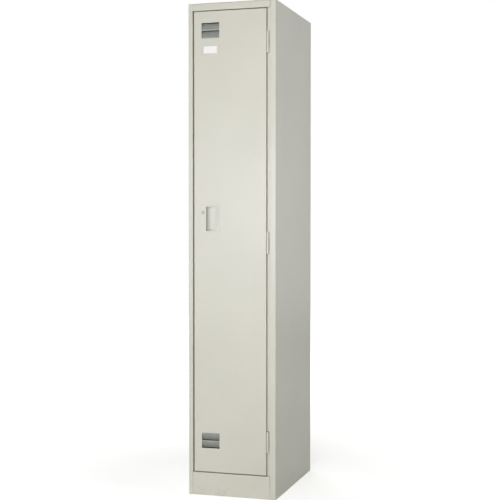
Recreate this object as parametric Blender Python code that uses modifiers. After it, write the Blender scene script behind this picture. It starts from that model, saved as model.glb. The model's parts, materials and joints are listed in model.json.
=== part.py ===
# Personal steel locker: one hinged door, hat shelf, hanger rod, umbrella ring and cylinder lock.
# Metres, +Z up. The front faces -Y. The origin is the middle of the footprint, on the floor.

import math

import bmesh
import bpy
from mathutils import Vector

# Cabinet
cabinet_width = 0.330
cabinet_depth = 0.515
cabinet_height = 1.790
sheet = 0.0008
bend_radius = 0.002
seat_gap = 0.0003
overrun = 0.004
merge_distance = 0.00001

# Front frame and the rebate that the door closes into
latch_stile_width = 0.0155
hinge_stile_width = 0.021
head_height = 0.026
kick_height = 0.083
rail_lip = 0.015
rear_flange = 0.015
latch_gap = 0.005
hinge_channel = 0.015
channel_gap = 0.001
door_gap = 0.003
face_setback = 0.0025
stop_gap = 0.003
stop_lap = 0.010

# Back, top, floor and base
bead_width = 0.026
bead_slope = 0.006
bead_depth = 0.004
bead_inset = 0.070
top_fold = 0.012
floor_fold = 0.018
rear_rail_lip = 0.015
gusset_leg = 0.055
gusset_thickness = 0.002

# Hat shelf and its clips
shelf_drop = 0.300
shelf_front_clear = 0.008
shelf_side_clear = 0.0006
shelf_fold = 0.020
shelf_hem = 0.010
clip_leg = 0.022
clip_ledge = 0.012
clip_width = 0.018
clip_thickness = 0.0012
clip_end_inset = 0.080

# Hanger rod, hooks, umbrella ring and tray
rod_drop = 0.070
rod_radius = 0.011
rod_wall = 0.0012
socket_base_radius = 0.018
socket_base = 0.002
socket_cup = 0.014
socket_wall = 0.002
hook_drop = 0.120
hook_depth_place = 0.150
hook_plate_width = 0.018
hook_plate_height = 0.044
hook_plate_thickness = 0.002
hook_root = 0.006
hook_reach = 0.028
hook_sag = 0.012
hook_bend = 0.006
hook_wire_radius = 0.0025
ring_height = 0.560
ring_front_inset = 0.085
ring_length = 0.090
ring_reach = 0.080
ring_corner = 0.018
ring_wire_radius = 0.0025
ring_plate_height = 0.022
ring_plate_margin = 0.008
ring_plate_thickness = 0.002
tray_margin = 0.012
tray_height = 0.024
tray_wall = 0.0018
tray_taper = 0.004
tray_rim = 0.003
tray_corner = 0.008

# Magnetic catch and rubber bumpers on the left stop flange
catch_height = 1.150
catch_length = 0.046
catch_depth = 0.014
catch_width = 0.011
catch_wall = 0.0015
bumper_inset = 0.120
bumper_radius = 0.0042
bumper_stem_radius = 0.0018
bumper_stem = 0.006

# Door
door_thickness = 0.020
door_hem = 0.012
stiffener_crown = 0.036
stiffener_flange = 0.012
stiffener_end_clear = 0.012
stiffener_rear_clear = 0.0015
fittings_inset = 0.063

# Hinges
hinge_height = 0.076
hinge_end_inset = 0.120
pin_radius = 0.0025
pin_clearance = 0.0001
pin_head_radius = 0.0038
pin_head = 0.0015
leaf_thickness = 0.002
leaf_rear_clear = 0.002
leaf_notch_clear = 0.0009
knuckle_clear = 0.0006

# Louvred vents
vent_width = 0.068
vent_height = 0.056
vent_margin = 0.006
upper_vent_drop = 0.0418
lower_vent_rise = 0.0872
blade_lip = 0.004
blade_run = 0.014
blade_fall = 0.024

# Card holder and card
card_holder_drop = 0.121
card_holder_width = 0.069
card_holder_height = 0.039
card_holder_corner = 0.002
card_wall = 0.0005
card_rail = 0.0055
card_foot = 0.004
card_grip = 0.0035
card_thickness = 0.00025

# Recessed pull
pull_height = 1.0105
cup_inset = 0.0465
cup_width = 0.046
cup_height = 0.088
cup_depth = 0.0155
cup_undercut = 0.0035
cup_lip = 0.003
cup_wall = 0.0015
cup_corner = 0.0018
cup_end_radius = 0.009
pull_plate_thickness = 0.0018
pull_plate_lap = 0.003
pull_plate_end_lap = 0.0045
pull_plate_corner = 0.004
pull_plate_edge = 0.0007
pull_hole_clear = 0.0005

# Cylinder lock
lock_rise = 0.023
plug_radius = 0.004
plug_clearance = 0.00008
case_radius = 0.0055
case_rim_radius = 0.0067
case_rim = 0.0008
lock_web = 0.0005
boss_wall = 0.001
lock_case_rear_clear = 0.004
keyway_width = 0.0012
keyway_height = 0.005
keyway_depth = 0.008
cam_thickness = 0.002
cam_width = 0.012
cam_reach = 0.036
cam_flange_clear = 0.0015
cam_screw_radius = 0.0015
cam_screw_head_radius = 0.0035
cam_screw_head = 0.0015
cam_screw_length = 0.007

# Mirror and towel bar inside the door
mirror_drop = 0.201
mirror_width = 0.100
mirror_height = 0.150
mirror_glass_thickness = 0.003
mirror_border = 0.004
mirror_back = 0.0015
mirror_corner = 0.005
towel_bar_drop = 0.511
towel_bar_length = 0.160
towel_bar_shift = 0.005
towel_bar_reach = 0.032
towel_bar_corner = 0.010
towel_wire_radius = 0.0025
towel_pad = 0.016
towel_pad_thickness = 0.0015

# Counts and shares
bend_steps = 3
round_steps = 32
roll_steps = 20
wire_bend_steps = 5
roll_sweep = math.radians(290)
cup_curve_steps = 12
cup_end_steps = 5
vent_blades = 2
cup_floor_shares = ((0.35, 0.0), (0.45, 1.0))
cup_floor_left_share = 0.16

finishes = {
    "baked_paint": ("#dcdacf", 0.38, 0.0),
    "grey_paint": ("#9fa39b", 0.45, 0.0),
    "zinc_plate": ("#b4b6b6", 0.36, 0.9),
    "chrome_plate": ("#d6d8da", 0.14, 1.0),
    "pale_plastic": ("#e2e1da", 0.42, 0.0),
    "grey_plastic": ("#9a9c99", 0.5, 0.0),
    "black_rubber": ("#2b2b2b", 0.85, 0.0),
    "white_card": ("#f6f5ee", 0.75, 0.0),
    "dark_magnet": ("#3a3836", 0.6, 0.2),
    "mirror_glass": ("#dfe3e4", 0.04, 1.0),
}

# Places worked out from the sizes
half_width = cabinet_width / 2
front_y = -cabinet_depth / 2
back_y = cabinet_depth / 2
wall_x = half_width - sheet - seat_gap
latch_stile_x = latch_stile_width - half_width
hinge_stile_x = half_width - hinge_stile_width
door_left = latch_stile_x + latch_gap
door_right = hinge_stile_x - hinge_channel
door_bottom = kick_height + door_gap
door_top = cabinet_height - head_height - door_gap
face_y = front_y + face_setback
skin_back_y = face_y + sheet
door_rear_y = face_y + door_thickness
flange_y = door_rear_y + stop_gap
rail_flange_y = flange_y - seat_gap - sheet
inside_front_y = flange_y + sheet + seat_gap
back_panel_y = back_y - sheet - seat_gap
inside_back_y = back_panel_y - sheet - bead_depth - seat_gap
left_flange_x = door_left + stop_lap
right_flange_x = door_right - stop_lap
catch_x = (left_flange_x + latch_stile_x) / 2
knuckle_radius = pin_radius + pin_clearance + leaf_thickness
axis_x = door_right + seat_gap + knuckle_radius
axis_y = face_y + seat_gap + knuckle_radius
leg_end_y = door_rear_y - leaf_rear_clear
channel_x = door_right + channel_gap
channel_y = axis_y + knuckle_radius + seat_gap
mirror_z = door_top - mirror_drop
towel_bar_z = door_top - towel_bar_drop
shelf_z = cabinet_height - shelf_drop
fittings_x = door_left + fittings_inset
cup_left = door_left + cup_inset
cup_right = cup_left + cup_width
plate_back_y = face_y - seat_gap
plate_front_y = plate_back_y - pull_plate_thickness
bore_radius = case_radius + seat_gap
boss_radius = bore_radius + boss_wall
lock_x = cup_left - cup_undercut - cup_wall - lock_web - bore_radius
lock_z = pull_height + lock_rise
cam_y = flange_y + sheet + cam_flange_clear
hinge_heights = (
    door_bottom + hinge_end_inset,
    (door_bottom + door_top) / 2,
    door_top - hinge_end_inset,
)
hinge_places = ("lower", "middle", "upper")


# Scene, collections and finishes
def new_collection(name):
    collection = bpy.data.collections.new(name)
    bpy.context.scene.collection.children.link(collection)
    return collection


for leftover in list(bpy.data.objects):
    bpy.data.objects.remove(leftover, do_unlink=True)
locker = new_collection("personal_locker")
cutters = new_collection("cutters")


def linear_colour(code):
    channels = [int(code[place:place + 2], 16) / 255 for place in (1, 3, 5)]
    return [c / 12.92 if c <= 0.04045 else ((c + 0.055) / 1.055) ** 2.4 for c in channels] + [1]


def finish_material(name, finish):
    colour, roughness, metallic = finishes[finish]
    material = bpy.data.materials.new(f"{name}_{finish}")
    material.use_nodes = True
    shader = material.node_tree.nodes["Principled BSDF"]
    shader.inputs["Base Color"].default_value = linear_colour(colour)
    shader.inputs["Roughness"].default_value = roughness
    shader.inputs["Metallic"].default_value = metallic
    return material


# Making objects
def object_from(bm, name, location=(0, 0, 0)):
    mesh = bpy.data.meshes.new(name)
    bm.to_mesh(mesh)
    bm.free()
    obj = bpy.data.objects.new(name, mesh)
    obj.location = location
    return obj


def hang(obj, parent):
    # The object keeps its place in the world under its parent.
    obj.parent = parent
    while parent:
        obj.location -= parent.location
        parent = parent.parent


def as_part(obj, finish, parent=None):
    locker.objects.link(obj)
    obj.data.materials.append(finish_material(obj.name, finish))
    hang(obj, parent)
    return obj


def as_cutter(obj, parent=None):
    cutters.objects.link(obj)
    obj.hide_render = True
    obj.display_type = "WIRE"
    hang(obj, parent)
    return obj


def combine(target, other, operation):
    modifier = target.modifiers.new(other.name, "BOOLEAN")
    modifier.operation = operation
    modifier.solver = "EXACT"
    modifier.object = as_cutter(other, target.parent)


def cut(target, cutter):
    combine(target, cutter, "DIFFERENCE")


def join(target, other):
    combine(target, other, "UNION")


def realised(obj):
    # A plain mesh of what the object shows, with round faces smooth. The object is used up.
    if not obj.users_collection:
        cutters.objects.link(obj)
    shown = obj.evaluated_get(bpy.context.evaluated_depsgraph_get())
    mesh = bpy.data.meshes.new_from_object(shown)
    mesh.transform(shown.matrix_world)
    helpers = [modifier.object for modifier in obj.modifiers if modifier.type == "BOOLEAN"]
    for used in [obj] + helpers:
        bpy.data.objects.remove(used, do_unlink=True)
    bm = bmesh.new()
    bm.from_mesh(mesh)
    bmesh.ops.remove_doubles(bm, verts=bm.verts, dist=merge_distance)
    bm.to_mesh(mesh)
    bm.free()
    mesh.materials.clear()
    mesh.shade_smooth()
    mesh.set_sharp_from_angle(angle=math.radians(35))
    return mesh


def placed(name, mesh, location, turn=(0, 0, 0)):
    obj = bpy.data.objects.new(name, mesh.copy())
    obj.location = location
    obj.rotation_euler = turn
    return obj


# Shapes
def rounded(points, radius, steps=bend_steps):
    # An open path with each inner corner turned into an arc of this radius.
    points = [Vector(point) for point in points]
    path = [points[0]]
    for before, corner, after in zip(points, points[1:], points[2:]):
        back = (before - corner).normalized()
        ahead = (after - corner).normalized()
        half_angle = back.angle(ahead) / 2
        centre = corner + (back + ahead).normalized() * radius / math.sin(half_angle)
        first = corner + back * radius / math.tan(half_angle) - centre
        last = corner + ahead * radius / math.tan(half_angle) - centre
        path += [centre + first.slerp(last, step / steps) * radius for step in range(steps + 1)]
    return path + [points[-1]]


def rounded_rectangle(width, height, radius):
    corners = [(width / 2, 0), (width / 2, height / 2), (-width / 2, height / 2)]
    corners += [(-width / 2, -height / 2), (width / 2, -height / 2), (width / 2, 0)]
    return rounded(corners, radius)[:-1]


def box_object(name, low, high):
    low = Vector(low)
    high = Vector(high)
    bm = bmesh.new()
    bmesh.ops.create_cube(bm, size=1)
    bmesh.ops.scale(bm, vec=high - low, verts=bm.verts)
    return object_from(bm, name, (low + high) / 2)


def drum_object(name, centre, radius, length):
    # A cylinder along Y.
    bm = bmesh.new()
    bmesh.ops.create_cone(
        bm, cap_ends=True, segments=round_steps, radius1=radius, radius2=radius, depth=length)
    drum = object_from(bm, name, centre)
    drum.rotation_euler = (math.radians(90), 0, 0)
    return drum


def turned_object(name, profile, closed=False):
    # The profile is (radius, height) pairs that run down the outer side.
    bm = bmesh.new()
    points = [bm.verts.new((radius, 0, height)) for radius, height in profile]
    for pair in zip(points, points[1:]):
        bm.edges.new(pair)
    if closed:
        bm.edges.new((points[-1], points[0]))
    obj = object_from(bm, name)
    screw = obj.modifiers.new("turn", "SCREW")
    screw.steps = round_steps
    screw.render_steps = round_steps
    screw.use_merge_vertices = True
    screw.merge_threshold = merge_distance
    return obj


def outline_object(name, points, thickness):
    # A flat outline in the local XY plane, made a mesh so that it can be cut and joined.
    curve = bpy.data.curves.new(name, "CURVE")
    curve.dimensions = "2D"
    curve.fill_mode = "BOTH"
    curve.extrude = thickness / 2
    spline = curve.splines.new("POLY")
    spline.points.add(len(points) - 1)
    for point, place in zip(spline.points, points):
        point.co = (place[0], place[1], 0, 1)
    spline.use_cyclic_u = True
    return bpy.data.objects.new(name, realised(bpy.data.objects.new(name, curve)))


def upright_plate(name, points, thickness, location):
    # The outline's local Y stands up, and its thickness lies along world Y.
    plate = outline_object(name, points, thickness)
    plate.location = location
    plate.rotation_euler = (math.radians(90), 0, 0)
    return plate


def wire_object(name, points, radius):
    curve = bpy.data.curves.new(name, "CURVE")
    curve.dimensions = "3D"
    curve.bevel_depth = radius
    curve.bevel_resolution = 2
    curve.use_fill_caps = True
    spline = curve.splines.new("POLY")
    spline.points.add(len(points) - 1)
    for point, place in zip(spline.points, points):
        point.co = (*place, 1)
    return bpy.data.objects.new(name, realised(bpy.data.objects.new(name, curve)))


def in_space(place, along, level):
    first, second = place
    if along == "X":
        return Vector((level, first, second))
    return Vector((first, second, level))


def sheet_surface(path, along, levels):
    # A path drawn square to one axis and extruded along it, level by level. Its faces look to the
    # right of the path, so that Solidify grows the sheet to the left of it.
    bm = bmesh.new()
    points = [bm.verts.new(in_space(place, along, levels[0])) for place in path]
    row = [bm.edges.new(pair) for pair in zip(points, points[1:])]
    lead = row[0]
    for low, high in zip(levels, levels[1:]):
        grown = bmesh.ops.extrude_edge_only(bm, edges=row)["geom"]
        fresh = [item for item in grown if isinstance(item, bmesh.types.BMVert)]
        shift = in_space((0, 0), along, high - low)
        bmesh.ops.translate(bm, verts=fresh, vec=shift)
        row = [edge for edge in grown if isinstance(edge, bmesh.types.BMEdge)
               and edge.verts[0] in fresh and edge.verts[1] in fresh]
    bm.normal_update()
    step = Vector(path[1]) - Vector(path[0])
    right = in_space((step.y, -step.x), along, 0)
    if lead.link_faces[0].normal.dot(right) < 0:
        bmesh.ops.reverse_faces(bm, faces=bm.faces)
    return bm


def thicken(obj, thickness):
    solidify = obj.modifiers.new("sheet", "SOLIDIFY")
    solidify.thickness = thickness
    solidify.offset = -1
    solidify.use_even_offset = True
    return obj


def folded_sheet(name, corners, along, start, end, thickness=sheet, radius=bend_radius):
    path = rounded(corners, radius)
    return thicken(object_from(sheet_surface(path, along, (start, end)), name), thickness)


# Cabinet panels
def build_side_panels():
    left = folded_sheet(
        "left_side_panel",
        [(rear_flange - half_width, back_y), (-half_width, back_y), (-half_width, front_y),
         (latch_stile_x, front_y), (latch_stile_x, flange_y), (left_flange_x, flange_y)],
        "Z", 0, cabinet_height)
    # The right one steps back beside the door, which makes the shallow channel that the hinges stand in.
    right = folded_sheet(
        "right_side_panel",
        [(right_flange_x, flange_y), (channel_x, flange_y), (channel_x, channel_y),
         (hinge_stile_x, channel_y), (hinge_stile_x, front_y), (half_width, front_y),
         (half_width, back_y), (half_width - rear_flange, back_y)],
        "Z", 0, cabinet_height)
    # The channel is notched where the door's hinge leaves pass through it.
    notch_reach = hinge_height / 2 + leaf_notch_clear
    for place, height in zip(hinge_places, hinge_heights):
        cut(right, box_object(
            f"{place}_leaf_notch", (channel_x - overrun, channel_y - overrun, height - notch_reach),
            (axis_x - knuckle_radius + leaf_thickness + leaf_notch_clear, leg_end_y + leaf_notch_clear,
             height + notch_reach)))
    for panel in (left, right):
        as_part(panel, "baked_paint")
        # The rebate is notched so that the top panel passes over it.
        notch = box_object(
            f"{panel.name}_notch",
            (sheet + seat_gap / 2 - half_width, front_y + sheet + seat_gap / 2,
             cabinet_height - sheet - seat_gap),
            (half_width - sheet - seat_gap / 2, back_y - sheet - seat_gap / 2,
             cabinet_height + overrun))
        cut(panel, notch)
    return left


def build_top_panel():
    corners = [(-wall_x, cabinet_height - top_fold), (-wall_x, cabinet_height),
               (wall_x, cabinet_height), (wall_x, cabinet_height - top_fold)]
    # Drawn square to X, then turned so that its folds run from front to back.
    panel = folded_sheet(
        "top_panel", [(-across, up) for across, up in corners], "X",
        front_y + sheet + seat_gap, back_y - sheet - seat_gap)
    panel.rotation_euler = (0, 0, math.radians(90))
    as_part(panel, "baked_paint")
    # Its corners are clipped to pass the rounded folds of the side panels.
    for name, across, along in (("front_left", -1, -1), ("front_right", 1, -1),
                                ("rear_left", -1, 1), ("rear_right", 1, 1)):
        inner = Vector((across * (half_width - bend_radius - seat_gap),
                        along * (cabinet_depth / 2 - bend_radius - seat_gap)))
        outer = Vector((across * (half_width + overrun), along * (cabinet_depth / 2 + overrun)))
        cut(panel, box_object(
            f"top_{name}_clip", (min(inner.x, outer.x), min(inner.y, outer.y), cabinet_height - 2 * top_fold),
            (max(inner.x, outer.x), max(inner.y, outer.y), cabinet_height + overrun)))


def build_front_rails():
    start = latch_stile_x + seat_gap
    end = hinge_stile_x - seat_gap
    under_top = cabinet_height - sheet - seat_gap
    head_bottom = cabinet_height - head_height
    head = folded_sheet(
        "head_rail",
        [(front_y + rail_lip, under_top), (front_y, under_top), (front_y, head_bottom),
         (rail_flange_y, head_bottom), (rail_flange_y, door_top - stop_lap)],
        "X", start, end)
    kick = folded_sheet(
        "kick_plate",
        [(rail_flange_y, door_bottom + stop_lap), (rail_flange_y, kick_height),
         (front_y, kick_height), (front_y, 0), (front_y + rail_lip, 0)],
        "X", start, end)
    # Each rail is relieved where it would meet the side panels' rounded folds and the hinge channel.
    past_start = start - overrun
    past_end = end + overrun
    reliefs = {
        "latch_fold": (past_start, latch_stile_x + bend_radius, flange_y - bend_radius),
        "channel": (channel_x - seat_gap, past_end, channel_y - seat_gap),
        "channel_fold": (hinge_stile_x - bend_radius, past_end, channel_y - bend_radius),
        "stop_fold": (channel_x - bend_radius, past_end, flange_y - bend_radius),
    }
    for rail in (head, kick):
        as_part(rail, "baked_paint")
        for name, (low_x, high_x, low_y) in reliefs.items():
            cut(rail, box_object(
                f"{rail.name}_{name}_relief", (low_x, low_y, -overrun),
                (high_x, inside_front_y, cabinet_height + overrun)))


def build_back_panel():
    # Two pressed beads stiffen the sheet.
    reach = wall_x - bend_radius - seat_gap
    corners = [(reach, back_panel_y)]
    for side in (1, -1):
        outer = side * (reach - bead_inset)
        for offset, depth in ((1, 0), (1, 1), (-1, 1), (-1, 0)):
            slope = bead_slope if depth == 0 else 0
            corners.append((outer + offset * (bead_width / 2 + slope), back_panel_y - depth * bead_depth))
    corners.append((-reach, back_panel_y))
    panel = folded_sheet("back_panel", corners, "Z", 0, cabinet_height - sheet - seat_gap)
    as_part(panel, "baked_paint")


def build_floor_and_base():
    low = kick_height - floor_fold
    floor = folded_sheet(
        "floor_panel",
        [(inside_back_y, low), (inside_back_y, kick_height), (inside_front_y, kick_height),
         (inside_front_y, low)],
        "X", -wall_x, wall_x)
    as_part(floor, "baked_paint")
    web_y = inside_back_y - sheet - seat_gap
    under_floor = kick_height - sheet - seat_gap
    rail = folded_sheet(
        "rear_base_rail",
        [(web_y - rear_rail_lip, 0), (web_y, 0), (web_y, under_floor),
         (web_y - rear_rail_lip, under_floor)],
        "X", -wall_x, wall_x)
    as_part(rail, "baked_paint")
    toe = bend_radius
    outline = [(0, 0), (gusset_leg, 0), (gusset_leg, toe), (toe, gusset_leg), (0, gusset_leg)]
    gusset = outline_object("gusset", outline, gusset_thickness).data
    height = bend_radius + seat_gap + gusset_thickness / 2
    rear_y = web_y - sheet - seat_gap
    places = {
        "base_gusset_front_left": ((-wall_x, inside_front_y, height), 0),
        "base_gusset_front_right": ((wall_x, inside_front_y, height), 90),
        "base_gusset_rear_right": ((wall_x, rear_y, height), 180),
        "base_gusset_rear_left": ((-wall_x, rear_y, height), 270),
    }
    for name, (place, turn) in places.items():
        as_part(placed(name, gusset, place, (0, 0, math.radians(turn))), "baked_paint")


# Fittings inside the cabinet
def build_hat_shelf():
    low = shelf_z - shelf_fold
    front = inside_front_y + shelf_front_clear
    reach = half_width - sheet - shelf_side_clear
    shelf = folded_sheet(
        "hat_shelf",
        [(inside_back_y, low), (inside_back_y, shelf_z), (front, shelf_z), (front, low),
         (front + shelf_hem, low)],
        "X", -reach, reach)
    as_part(shelf, "baked_paint")
    surface = sheet_surface(
        rounded([(clip_ledge, 0), (0, 0), (0, -clip_leg)], bend_radius), "Z", (0, clip_width))
    clip = realised(thicken(object_from(surface, "clip"), clip_thickness))
    under = shelf_z - sheet - seat_gap
    for side, turn in (("left", 0), ("right", 180)):
        wall = -wall_x if side == "left" else wall_x
        for end, middle in (("front", front + clip_end_inset), ("rear", inside_back_y - clip_end_inset)):
            # The clip is drawn lying down, so it is stood up before it is turned to its wall.
            edge = middle + clip_width / 2 if side == "left" else middle - clip_width / 2
            stand = (math.radians(90), 0, math.radians(turn))
            as_part(placed(f"shelf_clip_{end}_{side}", clip, (wall, edge, under), stand), "zinc_plate")


def build_hanger_rod():
    height = shelf_z - rod_drop
    half_rod = wall_x - socket_base - seat_gap
    tube = turned_object(
        "tube",
        [(rod_radius, half_rod), (rod_radius, -half_rod),
         (rod_radius - rod_wall, -half_rod), (rod_radius - rod_wall, half_rod)],
        closed=True)
    across = (0, math.radians(90), 0)
    as_part(placed("hanger_rod", realised(tube), (0, 0, height), across), "chrome_plate")
    inner = rod_radius + seat_gap
    outer = inner + socket_wall
    socket = realised(turned_object(
        "socket",
        [(0, socket_base), (inner, socket_base), (inner, socket_cup), (outer, socket_cup),
         (outer, socket_base), (socket_base_radius, socket_base), (socket_base_radius, 0), (0, 0)]))
    as_part(placed("rod_socket_left", socket, (-wall_x, 0, height), across), "zinc_plate")
    across_back = (0, math.radians(-90), 0)
    as_part(placed("rod_socket_right", socket, (wall_x, 0, height), across_back), "zinc_plate")


def build_coat_hooks():
    # Drawn for the left wall: X leads away from the wall.
    turn = (math.radians(90), 0, math.radians(90))
    plate = outline_object(
        "hook_plate",
        rounded_rectangle(hook_plate_width, hook_plate_height, bend_radius), hook_plate_thickness)
    plate.location = (hook_plate_thickness / 2, 0, 0)
    plate.rotation_euler = turn
    start = hook_plate_thickness / 2
    route = rounded(
        [(start, 0, 0), (hook_root, 0, 0), (hook_reach / 2, 0, -hook_sag),
         (hook_reach, 0, -hook_sag), (hook_reach, 0, hook_sag / 2)],
        hook_bend, wire_bend_steps)
    join(plate, wire_object("hook_wire", route, hook_wire_radius))
    height = shelf_z - hook_drop
    source = realised(plate)
    for side, wall, face in (("left", -wall_x, 0), ("right", wall_x, 180)):
        hook = placed(f"coat_hook_{side}", source, (wall, hook_depth_place, height),
                      (0, 0, math.radians(face)))
        as_part(hook, "chrome_plate")


def build_umbrella_ring():
    middle_y = inside_front_y + ring_front_inset
    half_length = ring_length / 2
    plate = box_object(
        "umbrella_ring",
        (-wall_x, middle_y - half_length - ring_plate_margin, ring_height - ring_plate_height / 2),
        (ring_plate_thickness - wall_x, middle_y + half_length + ring_plate_margin,
         ring_height + ring_plate_height / 2))
    start = ring_plate_thickness / 2 - wall_x
    end = ring_reach - wall_x
    route = rounded(
        [(start, middle_y - half_length, ring_height), (end, middle_y - half_length, ring_height),
         (end, middle_y + half_length, ring_height), (start, middle_y + half_length, ring_height)],
        ring_corner, wire_bend_steps)
    as_part(plate, "chrome_plate")
    join(plate, wire_object("umbrella_wire", route, ring_wire_radius))


def build_catch_and_bumpers(left_panel):
    half_length = catch_length / 2
    half_catch = catch_width / 2
    pole = half_catch - catch_wall - seat_gap
    pole_length = half_length - catch_wall - seat_gap
    pole_front = door_rear_y + seat_gap
    case = box_object(
        "catch_case",
        (catch_x - half_catch, inside_front_y, catch_height - half_length),
        (catch_x + half_catch, inside_front_y + catch_depth, catch_height + half_length))
    as_part(case, "pale_plastic")
    pocket_back = inside_front_y + catch_depth - catch_wall
    cut(case, box_object(
        "catch_pocket",
        (catch_x - pole - seat_gap, inside_front_y - overrun, catch_height - pole_length - seat_gap),
        (catch_x + pole + seat_gap, pocket_back, catch_height + pole_length + seat_gap)))
    magnet = box_object(
        "catch_magnet",
        (catch_x - pole, pole_front, catch_height - pole_length),
        (catch_x + pole, pocket_back - seat_gap, catch_height + pole_length))
    as_part(magnet, "dark_magnet")
    cut(left_panel, box_object(
        "catch_window",
        (catch_x - pole - seat_gap, flange_y - overrun, catch_height - pole_length - seat_gap),
        (catch_x + pole + seat_gap, flange_y + overrun, catch_height + pole_length + seat_gap)))
    head_front = stop_gap - seat_gap
    bumper = realised(turned_object(
        "bumper",
        [(0, head_front), (bumper_radius, head_front), (bumper_radius, seat_gap),
         (bumper_stem_radius, seat_gap), (bumper_stem_radius, -bumper_stem), (0, -bumper_stem)]))
    heights = {"door_bumper_lower": door_bottom + bumper_inset, "door_bumper_upper": door_top - bumper_inset}
    for name, height in heights.items():
        place = (catch_x, flange_y, height)
        as_part(placed(name, bumper, place, (math.radians(90), 0, 0)), "black_rubber")
        cut(left_panel, drum_object(f"{name}_hole", place, bumper_stem_radius + seat_gap, overrun))


# Hinges
def leaf_mesh(name, path, own_levels, levels, tongue, along):
    # The whole height is leaf; nearer the axis than the tongue only this leaf's own knuckles stay.
    bm = sheet_surface(path, "Z", levels)
    spare = []
    for face in bm.faces:
        middle = face.calc_center_median()
        own = any(low < middle.z < high for low, high in own_levels)
        if middle["XY".index(along)] < tongue and not own:
            spare.append(face)
    bmesh.ops.delete(bm, geom=spare, context="FACES")
    return realised(thicken(object_from(bm, name), leaf_thickness))


def build_hinges(door_axis):
    # The door's leaf lies on the door's edge, and the frame's a quarter turn on, on the channel's floor.
    tongue = knuckle_radius + knuckle_clear
    roll = [(-knuckle_radius * math.cos(roll_sweep * step / roll_steps),
             -knuckle_radius * math.sin(roll_sweep * step / roll_steps)) for step in range(roll_steps + 1)]
    door_path = [(-knuckle_radius, leg_end_y - axis_y), (-knuckle_radius, tongue)] + roll
    foot_end = hinge_stile_x - bend_radius - axis_x
    frame_path = [(foot_end, knuckle_radius), (tongue, knuckle_radius)]
    frame_path += [(along, -across) for across, along in roll]
    end = hinge_height / 2
    inner = hinge_height / 6
    near = inner - seat_gap / 2
    far = inner + seat_gap / 2
    door_leaf = leaf_mesh("door_leaf", door_path, [(-near, near)], (-end, -near, near, end), tongue, "Y")
    frame_leaf = leaf_mesh("frame_leaf", frame_path, [(-end, -far), (far, end)],
                           (-end, -far, far, end), tongue, "X")
    head_low = end + seat_gap
    pin = realised(turned_object(
        "pin",
        [(0, head_low + pin_head), (pin_head_radius, head_low + pin_head), (pin_head_radius, head_low),
         (pin_radius, head_low), (pin_radius, -end), (0, -end)]))
    for place, height in zip(hinge_places, hinge_heights):
        spot = (axis_x, axis_y, height)
        as_part(placed(f"door_hinge_leaf_{place}", door_leaf, spot), "baked_paint", door_axis)
        as_part(placed(f"frame_hinge_leaf_{place}", frame_leaf, spot), "baked_paint")
        as_part(placed(f"hinge_pin_{place}", pin, spot), "zinc_plate")


# Door
def build_door_skin(door_axis):
    low = Vector((door_left, face_y, door_bottom))
    high = Vector((door_right, door_rear_y, door_top))
    bm = bmesh.new()
    bmesh.ops.create_cube(bm, size=1)
    bmesh.ops.scale(bm, vec=high - low, verts=bm.verts)
    bmesh.ops.bevel(bm, geom=bm.edges[:], offset=bend_radius, segments=bend_steps, profile=0.5,
                    affect="EDGES")
    bm.faces.ensure_lookup_table()
    rear = max(bm.faces, key=lambda face: face.calc_center_median().y)
    bmesh.ops.inset_region(bm, faces=[rear], thickness=door_hem - bend_radius, use_even_offset=True)
    bmesh.ops.delete(bm, geom=[rear], context="FACES")
    skin = object_from(bm, "door_skin", (low + high) / 2)
    as_part(thicken(skin, sheet), "baked_paint", door_axis)
    return skin


def build_stiffener(door_axis):
    crown = stiffener_crown / 2
    edge = crown + stiffener_flange
    seat_y = skin_back_y + seat_gap
    crown_y = door_rear_y - stiffener_rear_clear - sheet
    clear = door_hem + stiffener_end_clear
    stiffener = folded_sheet(
        "door_stiffener",
        [(-edge, seat_y), (-crown, seat_y), (-crown, crown_y), (crown, crown_y), (crown, seat_y),
         (edge, seat_y)],
        "Z", door_bottom + clear, door_top - clear)
    as_part(stiffener, "baked_paint", door_axis)
    return crown_y + sheet


def build_vent(name, low_z, facing, skin, door_axis):
    # The blades slope up towards the back, or down where the vent is fitted the other way round, and
    # each ends behind the next one's lip, so that no straight way leads in.
    left = fittings_x - vent_width / 2
    right = fittings_x + vent_width / 2
    high_z = low_z + vent_height
    middle_z = (low_z + high_z) / 2
    seat_y = skin_back_y + seat_gap
    cut(skin, box_object(f"{name}_window", (left, face_y - overrun, low_z), (right, seat_y + overrun, high_z)))
    outline = rounded_rectangle(vent_width + 2 * vent_margin, vent_height + 2 * vent_margin, bend_radius)
    vent = upright_plate(name, outline, sheet, (fittings_x, seat_y + sheet / 2, middle_z))
    as_part(vent, "grey_paint", door_axis)
    cut(vent, box_object(f"{name}_mouth", (left, seat_y - overrun, low_z), (right, seat_y + overrun, high_z)))
    cheek_back = seat_y + blade_run + 2 * sheet
    half_sheet = sheet / 2
    for side, edge, sign in (("left", left, -1), ("right", right, 1)):
        inner = edge - sign * half_sheet
        outer = edge + sign * half_sheet
        join(vent, box_object(
            f"{name}_{side}_cheek", (min(inner, outer), seat_y, low_z), (max(inner, outer), cheek_back, high_z)))
    pitch = vent_height / vent_blades
    lip_y = seat_y + half_sheet
    for count in range(vent_blades):
        edge = middle_z + facing * (vent_height / 2 + half_sheet - count * pitch)
        fold = edge - facing * blade_lip
        corners = [(lip_y, edge), (lip_y, fold), (lip_y + blade_run, fold - facing * blade_fall)]
        if facing < 0:
            corners.reverse()
        join(vent, folded_sheet(
            f"{name}_blade_{count}", corners, "X", left - half_sheet / 2, right + half_sheet / 2))


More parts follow.
